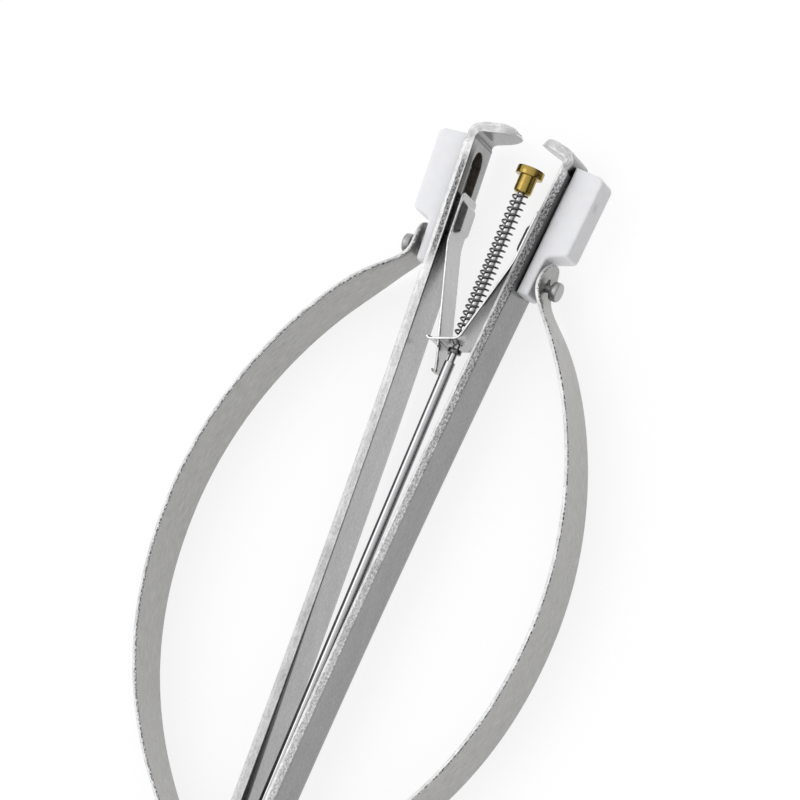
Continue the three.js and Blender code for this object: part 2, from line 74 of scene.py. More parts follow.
class Tree:
    """A material's node tree, with short ways to add and join nodes."""

    def __init__(self, name):
        self.material = bpy.data.materials.new(name)
        self.material.use_nodes = True
        self.nodes = self.material.node_tree.nodes
        self.links = self.material.node_tree.links
        self.shader = self.nodes["Principled BSDF"]

    def add(self, kind, sockets=None, **settings):
        node = self.nodes.new("ShaderNode" + kind)
        for key, value in settings.items():
            setattr(node, key, value)
        for key, value in (sockets or {}).items():
            if isinstance(value, bpy.types.NodeSocket):
                self.links.new(value, node.inputs[key])
            else:
                node.inputs[key].default_value = value
        return node

    def strip_uv(self, along, across):
        place = self.add("TexCoord").outputs["UV"]
        scale = {"Vector": place, "Scale": (along, across, 1.0)}
        return self.add("Mapping", scale).outputs["Vector"]

    def place_along(self):
        """The distance along the strip, in decimetres."""
        return self.add("SeparateXYZ", {"Vector": self.strip_uv(0.1, 1.0)}).outputs["X"]

    def place_over(self):
        """The distance across the strip from its middle, in half centimetres."""
        return self.add("SeparateXYZ", {"Vector": self.strip_uv(1.0, 2.0)}).outputs["Y"]

    def depth_share(self, wander, flip=False):
        """How far through the strip a point of its edge lies, 0 to 1, with a wandering line."""
        across = self.add("UVMap", uv_map="across").outputs["UV"]
        share = self.add("SeparateXYZ", {"Vector": across}).outputs["X"]
        if flip:
            share = self.add("Math", {0: 1.0, 1: share}, operation="SUBTRACT").outputs[0]
        drift = self.noise(self.strip_uv(7.0, 1.0), 1.0, 4.0, 0.7)
        sockets = {0: drift, 1: wander, 2: share}
        return self.add("Math", sockets, operation="MULTIPLY_ADD").outputs[0]

    def mix(self, factor, first, second, blend="MIX"):
        sockets = {"Factor": factor, 6: first, 7: second}
        return self.add("Mix", sockets, data_type="RGBA", blend_type=blend).outputs[2]

    def noise(self, vector, scale, detail=4.0, rough=0.6):
        sockets = {"Vector": vector, "Scale": scale, "Detail": detail, "Roughness": rough}
        return self.add("TexNoise", sockets).outputs["Fac"]

    def ramp(self, value, stops):
        node = self.add("ValToRGB", {"Fac": value})
        ramp = node.color_ramp
        while len(ramp.elements) < len(stops):
            ramp.elements.new(0.5)
        for element, (position, colour) in zip(ramp.elements, stops):
            element.position = position
            level = colour if isinstance(colour, tuple) else (colour,) * 3
            element.color = (*level, 1.0)
        return node.outputs["Color"]

    def bump(self, height, strength, distance):
        sockets = {"Height": height, "Strength": strength, "Distance": distance}
        normal = self.add("Bump", sockets).outputs["Normal"]
        self.links.new(normal, self.shader.inputs["Normal"])

    def feed(self, **values):
        for key, value in values.items():
            socket = self.shader.inputs[key.replace("_", " ")]
            if isinstance(value, bpy.types.NodeSocket):
                self.links.new(value, socket)
            else:
                socket.default_value = value


# Painted shade: the dark tint of shaded bands and of a painted dark reflection on the arm's faces.
PAINTED_SHADE_TINT = (0.17, 0.155, 0.145, 1.0)
FOOT_FROM, FOOT_TO = 0.72, 0.846  # where the feet slide, in decimetres along an arm


def arm_painted_shade(tree, colour):
    """The outer face is painted darker as shade, darkest where the foot sits beside it. The inner
    face has painted shade beside the slot, in the creases at the hook and towards the jaws, and a
    painted dark reflection at its near edge by the handle."""
    # Painted shade on the outer face: darker overall, darkest where the foot sits beside it.
    stops = [(FOOT_FROM, 0.62), (FOOT_FROM + 0.004, 0.2), (FOOT_TO, 0.2), (FOOT_TO + 0.004, 0.8)]
    outer_painted_shade = tree.ramp(tree.place_along(), stops)
    outer = tree.ramp(tree.depth_share(0.0), [(0.8, 0.0), (0.9, 1.0)])
    # Painted shade on the inner face: a band beside the slot, over the foot's reach.
    slid = [(FOOT_FROM - 0.01, 0.0), (FOOT_FROM + 0.02, 1.0)]
    stops = [*slid, (FOOT_TO - 0.02, 1.0), (FOOT_TO - 0.006, 0.0)]
    beside = tree.ramp(tree.place_over(), [(0.22, 0.0), (0.34, 1.0)])
    slot_side_painted_shade = tree.mix(1.0, tree.ramp(tree.place_along(), stops), beside, "MULTIPLY")
    inner = tree.mix(slot_side_painted_shade, colour, tree.mix(1.0, colour, PAINTED_SHADE_TINT, "MULTIPLY"))
    # Painted shade: dark lines in the creases of the bend at the hook.
    fold = {0: tree.place_along(), 1: 50.0, 2: 0.5 - 50.0 * FOOT_TO}
    fold = tree.add("Math", fold, operation="MULTIPLY_ADD").outputs[0]
    stops = [(0.3, 1.0), (0.38, 0.3), (0.45, 0.9), (0.52, 0.3), (0.64, 1.0)]
    crease_painted_shade = tree.ramp(fold, stops)
    inner = tree.mix(1.0, inner, crease_painted_shade, "MULTIPLY")
    # Painted shade on the inner face towards the jaws, where the leaves sit close.
    painted_shade_factor = tree.ramp(tree.place_along(), [(FOOT_FROM - 0.04, 1.0), (FOOT_FROM + 0.04, 0.74)])
    inner = tree.mix(1.0, inner, painted_shade_factor, "MULTIPLY")
    # Painted dark reflection on the inner face along its near edge, wider towards the handle.
    painted_reflection_spread = tree.ramp(tree.place_along(), [(0.18, 0.3), (0.4, 0.0)])
    reach = tree.add("Math", {0: tree.place_over(), 1: painted_reflection_spread}, operation="ADD").outputs[0]
    rim = tree.ramp(reach, [(0.47, 0.0), (0.51, 1.0)])
    inner = tree.mix(rim, inner, tree.mix(1.0, inner, PAINTED_SHADE_TINT, "MULTIPLY"))
    return tree.mix(outer, inner, tree.mix(1.0, colour, outer_painted_shade, "MULTIPLY"))


def worn_metal(name, dark, light, along, across, rough, bump, tint=(1.0, 1.0, 1.0), used=False):
    """Metal with a grain stretched along the strip, blotches in its gloss and fine relief.
    A used arm also has painted shade and a painted dark reflection on its two faces."""
    tree = Tree(name)
    grain = tree.noise(tree.strip_uv(along, across), 1.0, 6.0, 0.7)
    blotch = tree.noise(tree.strip_uv(3.0, 5.0), 1.0, 3.0, 0.6)
    low = tuple(dark * t for t in tint)
    high = tuple(light * t for t in tint)
    grain_colour = tree.ramp(grain, [(0.3, low), (0.7, high)])
    blotch_colour = tree.ramp(blotch, [(0.3, 0.9), (0.7, 1.06)])
    gloss = tree.ramp(blotch, [(0.3, rough - 0.05), (0.7, rough + 0.07)])
    colour = tree.mix(1.0, grain_colour, blotch_colour, "MULTIPLY")
    if used:
        colour = arm_painted_shade(tree, colour)
    tree.feed(Base_Color=colour, Roughness=gloss, Metallic=1.0)
    tree.bump(grain, bump, 0.00005)
    return tree.material


def sheared_edge(name, torn, smooth, zones, rough, bump, flip=False, along=None):
    """The cut edge of a strip: torn grains, and smooth where the blade entered. zones gives
    stops of (share of the depth, how smooth), and along gives stops of (place, how smooth,
    how bright) for an edge that changes."""
    tree = Tree(name)
    share = tree.depth_share(0.3, flip)
    zone = tree.ramp(share, zones)
    if along:
        cleaner = tree.ramp(tree.place_along(), [(at, clean) for at, clean, bright in along])
        zone = tree.mix(cleaner, zone, (1.0, 1.0, 1.0, 1.0))
    grains = tree.noise(tree.strip_uv(40.0, 56.0), 1.0, 5.0, 0.8)
    patches = tree.noise(tree.strip_uv(5.0, 5.0), 1.0, 3.0, 0.6)
    fine = tree.ramp(grains, [(0.42, torn[0]), (0.5, torn[1]), (0.57, torn[2])])
    if along:
        light = tree.ramp(tree.place_along(), [(at, bright) for at, clean, bright in along])
        fine = tree.mix(1.0, fine, light, "MULTIPLY")
    streaks = tree.noise(tree.strip_uv(20.0, 38.0), 1.0, 5.0, 0.75)
    sheen = tree.ramp(streaks, [(0.36, smooth * 0.76), (0.54, smooth)])
    if along:
        sheen = tree.mix(1.0, sheen, light, "MULTIPLY")
    broad = tree.ramp(patches, [(0.35, 0.84), (0.6, 1.04)])
    colour = tree.mix(1.0, tree.mix(zone, fine, sheen), broad, "MULTIPLY")
    gloss = tree.ramp(grains, [(0.35, rough + 0.14), (0.65, rough - 0.04)])
    tree.feed(Base_Color=colour, Roughness=gloss, Metallic=1.0)
    tree.bump(grains, bump, 0.0001)
    return tree.material


def turned_metal(name, colour, rough, rings, depth):
    """Metal with the fine rings that a lathe leaves."""
    tree = Tree(name)
    vector = tree.strip_uv(0.6, rings)
    lines = tree.noise(vector, 1.0, 4.0, 0.6)
    dull = tuple(c * 0.86 for c in colour)
    tint = tree.ramp(lines, [(0.3, dull), (0.7, colour)])
    gloss = tree.ramp(lines, [(0.3, rough + 0.06), (0.7, rough - 0.03)])
    tree.feed(Base_Color=tint, Roughness=gloss, Metallic=1.0)
    tree.bump(lines, depth, 0.00002)
    return tree.material


def nylon(name):
    tree = Tree(name)
    soft = tree.noise(tree.strip_uv(8.0, 8.0), 1.0, 3.0, 0.5)
    skin = tree.noise(tree.strip_uv(60.0, 60.0), 1.0, 4.0, 0.6)
    white = tree.ramp(soft, [(0.3, (0.87, 0.875, 0.895)), (0.7, (0.92, 0.92, 0.935))])
    gloss = tree.ramp(soft, [(0.3, 0.40), (0.7, 0.48)])
    normal = tree.add("TexCoord").outputs["Normal"]
    aside = tree.add("SeparateXYZ", {"Vector": normal}).outputs["X"]
    facing = tree.add("Math", {0: aside}, operation="ABSOLUTE").outputs[0]
    # Painted shade: faces that look along X, the foot's sides, are darker.
    painted_shade_factor = tree.ramp(facing, [(0.7, 1.0), (0.95, 0.72)])
    white = tree.mix(1.0, white, painted_shade_factor, "MULTIPLY")
    tree.feed(Base_Color=white, Roughness=gloss, Subsurface_Weight=0.2)
    tree.feed(Subsurface_Radius=(1.0, 0.95, 0.9), Subsurface_Scale=0.0012)
    tree.bump(skin, 0.12, 0.00003)
    return tree.material


ARM_FACE = worn_metal("arm_face", 0.35, 0.5, 26.0, 34.0, 0.18, 0.25, used=True)
ARM_EDGE = {
    "left": sheared_edge(
        "left_arm_edge", (0.08, 0.25, 0.5), 0.95,
        [(0.25, 1.0), (0.3, 0.0), (0.74, 0.0), (0.82, 1.0)], 0.36, 0.7,
        along=[(0.25, 0.8, 0.72), (0.5, 0.8, 0.78), (0.68, 0.8, 0.95), (0.715, 0.8, 1.0),
               (0.735, 0.0, 1.0), (0.815, 0.0, 0.95), (0.828, 0.85, 1.0)],
    ),
    "right": sheared_edge(
        "right_arm_edge", (0.1, 0.3, 0.62), 0.9,
        [(0.37, 1.0), (0.45, 0.0)], 0.36, 0.7,
        along=[(0.45, 0.35, 1.0), (0.68, 0.0, 0.95), (0.73, 0.0, 0.55), (0.8, 0.0, 0.55),
               (0.82, 0.0, 0.95), (0.853, 0.7, 1.0)],
    ),
}  # fmt: skip
SLOT_WALL = worn_metal("slot_wall", 0.05, 0.16, 20.0, 40.0, 0.5, 0.3, (1.0, 0.88, 0.74))
# Painted shade: a dark material for the steep flanks of the leaf's bulge.
FLANK_PAINTED_SHADE = worn_metal("leaf_flank_painted_shade", 0.08, 0.22, 20.0, 40.0, 0.4, 0.3)
BOW_FACE = worn_metal("bow_face", 0.27, 0.46, 9.0, 60.0, 0.3, 0.3, (1.0, 0.99, 0.96))
BOW_EDGE = {
    "left": sheared_edge(
        "left_bow_edge", (0.05, 0.35, 0.75), 0.8, [(0.55, 0.0), (0.65, 1.0)], 0.36, 0.6
    ),
    "right": sheared_edge(
        "right_bow_edge", (0.05, 0.35, 0.75), 0.85, [(0.4, 0.0), (0.5, 1.0)], 0.36, 0.6, True
    ),
}
LEAF_FACE = worn_metal("leaf_face", 0.45, 0.54, 20.0, 60.0, 0.24, 0.1)
LEAF_EDGE = sheared_edge(
    "leaf_edge", (0.5, 0.75, 0.9), 0.9, [(0.4, 0.0), (0.5, 1.0)], 0.3, 0.2
)
RIVET = turned_metal("rivet_steel", (0.46, 0.46, 0.46), 0.36, 14.0, 0.2)
BRIGHT = turned_metal("bright_steel", (0.62, 0.62, 0.63), 0.1, 5.0, 0.08)
WIRE = turned_metal("spring_wire", (0.19, 0.18, 0.185), 0.12, 3.0, 0.1)
BRASS = turned_metal("turned_brass", (0.46, 0.33, 0.085), 0.18, 30.0, 0.25)
NYLON = nylon("white_nylon")

# ---------------------------------------------------------------- lines


def bezier(a, b, c, d, count):
    t = np.linspace(0, 1, count + 1)[:, None]
    a, b, c, d = (np.array(p, float) for p in (a, b, c, d))
    return (1 - t) ** 3 * a + 3 * (1 - t) ** 2 * t * b + 3 * (1 - t) * t * t * c + t**3 * d


def quadratic(a, b, c, count):
    t = np.linspace(0, 1, count + 1)[:, None]
    a, b, c = (np.array(p, float) for p in (a, b, c))
    return (1 - t) ** 2 * a + 2 * (1 - t) * t * b + t * t * c


def straight(a, b, step):
    a, b = np.array(a, float), np.array(b, float)
    count = max(1, round(float(np.linalg.norm(b - a)) / step))
    return a + (b - a) * np.linspace(0, 1, count + 1)[:, None]


def arc(centre, radius, start, end, count):
    angles = np.radians(np.linspace(start, end, count + 1))
    return np.array(centre) + radius * np.stack([np.cos(angles), np.sin(angles)], 1)


def corner(before, at, after, reach, count):
    before, at, after = (np.array(p, float) for p in (before, at, after))
    first = at + (before - at) / np.linalg.norm(before - at) * reach
    last = at + (after - at) / np.linalg.norm(after - at) * reach
    return quadratic(first, at, last, count)


def joined(*parts):
    """One line out of several, without the points that repeat."""
    points = np.concatenate([np.atleast_2d(np.array(p, float)) for p in parts])
    apart = np.linalg.norm(np.diff(points, axis=0), axis=1) > 1e-5
    return points[np.concatenate([[True], apart])]


def loop_of(*parts):
    points = joined(*parts)
    if np.linalg.norm(points[0] - points[-1]) < 1e-5:
        points = points[:-1]
    return points


class Track:
    """A line in X and Y that a strip is bent along, measured by the distance along it."""

    def __init__(self, *parts):
        self.points = joined(*parts)
        steps = np.linalg.norm(np.diff(self.points, axis=0), axis=1)
        self.along = np.concatenate([[0], np.cumsum(steps)])
        way = np.gradient(self.points, self.along, axis=0)
        way /= np.linalg.norm(way, axis=1)[:, None]
        self.right = np.stack([way[:, 1], -way[:, 0]], 1)

    def at(self, distance, offset):
        x, y, rx, ry = (
            np.interp(distance, self.along, column)
            for column in (*self.points.T, *self.right.T)
        )
        size = math.hypot(rx, ry)
        return x + rx / size * offset, y + ry / size * offset

    def height(self, y):
        return np.interp(y, self.points[:, 1], self.along)


# ---------------------------------------------------------------- meshes


def make_object(name, points, faces, uvs, face_slots, materials, mirrored):
    if mirrored:
        points = [(-x, y, z) for x, y, z in points]
        faces = [tuple(reversed(face)) for face in faces]
    mesh = bpy.data.meshes.new(name)
    mesh.from_pydata([metres(*p) for p in points], [], faces)
    for layer_name, first in (("strip", 0), ("across", 2)):
        layer = mesh.uv_layers.new(name=layer_name)
        for item in mesh.loops:
            layer.data[item.index].uv = uvs[item.vertex_index][first : first + 2]
    for material in materials:
        mesh.materials.append(material)
    mesh.polygons.foreach_set("material_index", face_slots)
    mesh.polygons.foreach_set("use_smooth", [True] * len(faces))
    mesh.set_sharp_from_angle(angle=math.radians(50))
    mesh.validate()
    mesh.update()
    made = bpy.data.objects.new(name, mesh)
    bpy.context.scene.collection.objects.link(made)
    normals = made.modifiers.new("normals", "WEIGHTED_NORMAL")
    normals.keep_sharp = True
    return made


def merge(*shells):
    """Several (points, faces, uvs, slots) as one."""
    points, faces, uvs, slots = [], [], [], []
    for shell in shells:
        start = len(points)
        points += shell[0]
        faces += [tuple(i + start for i in face) for face in shell[1]]
        uvs += shell[2]
        slots += shell[3]
    return points, faces, uvs, slots


def inward(loop):
    """For each point, the way into the material that keeps both its edges parallel."""
    before = loop - np.roll(loop, 1, axis=0)
    after = np.roll(loop, -1, axis=0) - loop
    before /= np.linalg.norm(before, axis=1)[:, None]
    after /= np.linalg.norm(after, axis=1)[:, None]
    left_before = np.stack([-before[:, 1], before[:, 0]], 1)
    left_after = np.stack([-after[:, 1], after[:, 0]], 1)
    turn = np.maximum(1 + (left_before * left_after).sum(1), 0.5)
    return (left_before + left_after) / turn[:, None]


def rounded(low, high, bevel, steps):
    """How far in and how high each ring of a rounded edge lies, from the top down."""
    angles = [k / steps * math.pi / 2 for k in range(steps + 1)]
    top = [(1 - math.sin(a), high - bevel * (1 - math.cos(a))) for a in angles]
    bottom = [(1 - math.sin(a), low + bevel * (1 - math.cos(a))) for a in reversed(angles)]
    return top + bottom


def sheet(loops, grid, place, low, high, bevel, steps=3, open_end=None, wall=1):
    """A flat outline with holes, given thickness and rounded edges, then bent by place().
    The outline runs anticlockwise and the holes clockwise. open_end is a distance along at
    which the edge is left square, to meet the next sheet. wall is the material inside holes."""
    profile = rounded(low, high, bevel, steps)
    flat, ways, edges, edge_slots = [], [], [], []
    for loop in loops:
        way = inward(loop)
        if open_end is not None:
            way[np.abs(loop[:, 0] - open_end) < 1e-6, 0] = 0
        start = len(flat)
        count = len(loop)
        edges += [(start + i, start + (i + 1) % count) for i in range(count)]
        edge_slots += [wall if start else 1] * count
        flat += [tuple(p) for p in loop]
        ways += [tuple(w) for w in way]
    flat, ways = np.array(flat), np.array(ways)
    rim = flat + bevel * ways
    near = np.array([np.abs(rim - g).sum(1).min() for g in grid])
    grid = grid[near > 0.06]
    source = [Vector(p) for p in rim] + [Vector(g) for g in grid]
    found = delaunay_2d_cdt(source, edges, [], 1, 1e-7)
    spots, origins = found[0], found[3]
    triangles = [face for face in found[2] if in_material(face, spots, loops)]
    new_index = {}
    for index, sources in enumerate(origins):
        for s in sources:
            new_index[s] = index
    points, faces, uvs, slots = [], [], [], []
    corners = {i for face in triangles for i in face}
    used = sorted(corners | {new_index[i] for i in range(len(flat))})
    renumber = {old: new for new, old in enumerate(used)}
    for level in (high, low):
        for i in used:
            u, v = spots[i]
            points.append(place(u, v, level))
            uvs.append((u * 0.1, (v + level) * 0.1, (level - low) / (high - low), 0.0))
    count = len(used)
    for face in triangles:
        a, b, c = (renumber[i] for i in face[:3])
        faces.append((a, b, c))
        faces.append((c + count, b + count, a + count))
        slots += [0, 0]
    rings = [[renumber[new_index[i]] for i in range(len(flat))]]
    for inset, level in profile[1:-1]:
        rings.append(list(range(len(points), len(points) + len(flat))))
        for (u, v), (du, dv) in zip(flat, ways):
            here = (u + du * bevel * inset, v + dv * bevel * inset)
            points.append(place(*here, level))
            share = (level - low) / (high - low)
            uvs.append((here[0] * 0.1, (here[1] + level) * 0.1, share, 0.0))
    rings.append([i + count for i in rings[0]])
    for upper, lower in zip(rings, rings[1:]):
        for (i, j), slot in zip(edges, edge_slots):
            faces.append((lower[i], lower[j], upper[j], upper[i]))
            slots.append(slot)
    return points, faces, uvs, slots


def in_material(face, spots, loops):
    """Whether a triangle's middle lies inside the outline and outside its holes."""
    u = sum(spots[i][0] for i in face) / len(face)
    v = sum(spots[i][1] for i in face) / len(face)
    crossings = 0
    for loop in loops:
        a, b = loop, np.roll(loop, -1, axis=0)
        spans = (a[:, 1] > v) != (b[:, 1] > v)
        a, b = a[spans], b[spans]
        across = a[:, 0] + (v - a[:, 1]) / (b[:, 1] - a[:, 1]) * (b[:, 0] - a[:, 0])
        crossings += int((across > u).sum())
    return crossings % 2 == 1


def rows(us, vs):
    return np.array([(u, v) for u in us for v in vs])


def lathe(profile, place, sides=40):
    """A closed or on-axis outline of (radius, along) turned about an axis. place(a, b, along)
    puts a point at (a, b) across the axis."""
    points, faces, uvs, slots = [], [], [], []
    closed = profile[0] == profile[-1]
    outline = profile[:-1] if closed else profile
    rings = []
    for radius, along in outline:
        if radius < 1e-9:
            rings.append([len(points)] * sides)
            points.append(place(0, 0, along))
            uvs.append((0.0, along * 0.1, 0.0, 0.0))
            continue
        rings.append(list(range(len(points), len(points) + sides)))
        for k in range(sides):
            angle = 2 * math.pi * k / sides
            points.append(place(radius * math.cos(angle), radius * math.sin(angle), along))
            uvs.append((angle * 0.1, (along + radius) * 0.1, 0.0, 0.0))
    pairs = list(zip(rings, rings[1:])) + ([(rings[-1], rings[0])] if closed else [])
    for lower, upper in pairs:
        for k in range(sides):
            m = (k + 1) % sides
            corners = [lower[k], upper[k], upper[m], lower[m]]
            face = tuple(dict.fromkeys(corners))
            if len(face) > 2:
                faces.append(face)
                slots.append(0)
    return points, faces, uvs, slots


# ---------------------------------------------------------------- shared shapes

HEAD_LENGTH = 9.5
ARM_X = 0.74
ARM_SLOPE = 0.069
ARM_TOP = (3.7, 72.5)
ARM_THICK = 0.95
ARM_HALF = 2.65
BEND = (ARM_TOP[0] + ARM_SLOPE * 12.4, 84.9)
TIP = (1.05, 85.85)
TILT = math.atan(ARM_SLOPE)


def on_arm(x, along, z):
    """From the arm's sliding frame into the tool's frame."""
    c, s = math.cos(TILT), math.sin(TILT)
    return ARM_TOP[0] + c * x + s * along, ARM_TOP[1] - s * x + c * along, z


LEAN = 0.0135  # of the plunger, in radians
AXIS_X = -0.1


def on_axis(a, b, along):
    """From the plunger's leaning axis into the tool's frame."""
    up = along - HEAD_LENGTH
    c, s = math.cos(LEAN), math.sin(LEAN)
    return AXIS_X + c * a + s * up, HEAD_LENGTH - s * a + c * up, -b


def stadium(half, low, high, count=10):
    """Clockwise, for a hole; reversed it is an outline."""
    return loop_of(
        arc((high - half, 0), half, 90, -90, count),
        arc((low + half, 0), half, -90, -270, count),
    )


# ---------------------------------------------------------------- jaw arms


def arm(side):
    mirrored = side == "left"
    track = Track(
        straight((ARM_X, 0), (ARM_X, HEAD_LENGTH), 0.8),
        quadratic((ARM_X, HEAD_LENGTH), (ARM_TOP[0] - ARM_SLOPE * 31.5, 41), ARM_TOP, 90),
        straight(ARM_TOP, (BEND[0] - 0.45 * ARM_SLOPE, BEND[1] - 0.449), 0.4),
        corner(ARM_TOP, BEND, TIP, 0.45, 16),
        straight(corner(ARM_TOP, BEND, TIP, 0.45, 1)[-1], TIP, 0.2),
    )
    top = float(track.height(ARM_TOP[1]))
    end = float(track.along[-1])
    turn = float(track.height(BEND[1] - 0.15))

    def tongue(x):
        return end - (x - TIP[0]) * 1.0361

    cheek = straight((4.4, 2.3), (2.9, 1.95), 0.3)
    nose = bezier((2.9, 1.95), (2.0, 1.8), (TIP[0], 0.8), (TIP[0], 0), 26)
    side_edge = np.array([(tongue(x), z) for x, z in joined(cheek, nose)])
    notch = arc((turn, ARM_HALF + 0.05), 0.33, -75, -180, 6)
    upper = [p for p in joined(side_edge[::-1], notch) if p[1] < ARM_HALF + 1e-6]
    far = np.array(upper)
    near = far[::-1] * (1, -1)
    body = straight((0.4, -ARM_HALF), (turn - 0.4, -ARM_HALF), 0.8)
    outline = loop_of(
        arc((0.4, -ARM_HALF + 0.4), 0.4, 180, 270, 4),
        body,
        near,
        far,
        body[::-1] * (1, -1),
        arc((0.4, ARM_HALF - 0.4), 0.4, 90, 180, 4),
    )
    slot = stadium(1.2, top + 2.63, top + 10.92, 12)
    steps = [float(s) for s in track.along if s > turn - 1.2][::2]
    steps += [tongue(x) for x in (2.2, 1.95, 1.8, 1.71, 1.66, 1.61, 1.56, 1.45)]
    spaced = list(np.arange(0.8, turn - 1.3, 1.1)) + steps
    grid = rows(spaced, (-2.2, -1.65, -1.1, -0.55, 0, 0.55, 1.1, 1.65, 2.2))
    inside = []
    for u, v in grid:
        half = ARM_HALF if u < side_edge[0, 0] else np.interp(u, side_edge[:, 0], side_edge[:, 1])
        in_slot = abs(v) < 1.35 and top + 2.4 < u < top + 11.1
        if abs(v) < half - 0.2 and not in_slot and u < tongue(1.4):
            inside.append((u, v))

    def place(u, v, n):
        x, y = track.at(u, n)
        ground = LENGTH - 0.35 * min(max((1.71 - x) / 0.1, 0), 1)
        over = (ground - y) / 0.04
        y = ground - 0.04 * (math.log1p(math.exp(over)) if over < 30 else over)
        return x, y, v

    shell = sheet([outline, slot], np.array(inside), place, 0, ARM_THICK, 0.07, wall=2)
    made = make_object(side + "_arm_strip", *shell, [ARM_FACE, ARM_EDGE[side], SLOT_WALL], mirrored)
    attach(made, side + "_arm")
    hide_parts(side + "_jaw_arm")


# ---------------------------------------------------------------- bows

BOW_THICK = 0.38
BOW_HALF = 3.2
BOW_X = 1.98
WIDEST = (19.0, 43.5)
BOW_SEAM = 28.6
TAPER_FROM = 66.5


def bow_track():
    return Track(
        straight((BOW_X, 0), (BOW_X, 9.56), 0.8),
        bezier((BOW_X, 9.56), (BOW_X, 12.6), (WIDEST[0], 20.4), WIDEST, 60),
        bezier(WIDEST, (WIDEST[0], 54.3), (14.2, 64.1), (9.2, 69.48), 50),
        bezier((9.2, 69.48), (7.7, 71.1), (6.5, 72.0), (6.5, 73.3), 16),
        bezier((6.5, 73.3), (6.5, 74.2), (6.6, 75.05), (6.87, 75.66), 10),
    )


def bow(side):
    mirrored = side == "left"
    track = bow_track()
    seam = float(track.height(BOW_SEAM))

    def place(u, v, n):
        x, y = track.at(u, n)
        return x, y, v

    half = BOW_THICK / 2
    edge = straight((1.6, -BOW_HALF), (seam, -BOW_HALF), 0.7)
    tail = loop_of(
        arc((1.6, -BOW_HALF + 1.6), 1.6, 180, 270, 8),
        edge,
        straight((seam, -BOW_HALF), (seam, BOW_HALF), 1.6),
        edge[::-1] * (1, -1),
        arc((1.6, BOW_HALF - 1.6), 1.6, 90, 180, 8),
    )
    grid = rows(np.arange(1.2, seam - 0.3, 0.7), (-1.6, 0, 1.6))
    shell = sheet([tail], grid, place, -half, half, 0.06, 3, seam)
    lower = make_object(side + "_bow_strip_rear", *shell, [BOW_FACE, BOW_EDGE[side]], mirrored)
    sign = -1 if mirrored else 1
    start, end = metres(sign * BOW_X, 9.5), metres(sign * BOW_X, 27)
    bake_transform(lower)
    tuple(start)
    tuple(end)
    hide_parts(side + "_bow_tail", side + "_bow_lower")

    def at_y(points):
        return np.array([(float(track.height(y)), z) for y, z in points])

    taper = float(track.height(TAPER_FROM))
    waist = at_y(bezier((66.5, -3.2), (70.1, -3.2), (70.1, -1.95), (71.85, -1.95), 20))
    cheek = at_y(bezier((71.85, -1.95), (72.4, -1.95), (72.8, -2.15), (73.4, -2.15), 4))
    ear = at_y(arc((73.4, 0), 2.15, -90, 90, 26))
    edge = straight((seam, -BOW_HALF), (taper, -BOW_HALF), 0.7)
    outline = loop_of(
        edge,
        waist,
        cheek,
        ear,
        cheek[::-1] * (1, -1),
        waist[::-1] * (1, -1),
        edge[::-1] * (1, -1),
        straight((seam, BOW_HALF), (seam, -BOW_HALF), 1.6),
    )
    hole = stadium(0.45, track.height(73.0), track.height(74.15), 8)
    top = float(track.along[-1])
    grid = list(rows(np.arange(seam + 0.35, taper + 3, 0.7), (-1.6, 0, 1.6)))
    for u in np.arange(taper + 3.3, top - 0.3, 0.35):
        for v in (-1.3, -0.65, 0, 0.65, 1.3):
            near_hole = hole[:, 0].min() - 0.2 < u < hole[:, 0].max() + 0.2 and abs(v) < 0.8
            if not near_hole and math.hypot(max(u - top + 2.15, 0), v) < 1.9:
                grid.append((u, v))
    shell = sheet([outline, hole], np.array(grid), place, -half, half, 0.06, 3, seam)
    upper = make_object(side + "_bow_strip_front", *shell, [BOW_FACE, BOW_EDGE[side]], mirrored)
    start, end = metres(sign * WIDEST[0], 30), metres(sign * WIDEST[0], 57)
    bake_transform(upper)
    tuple(start)
    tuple(end)
    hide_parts(side + "_bow_upper")


# ---------------------------------------------------------------- feet


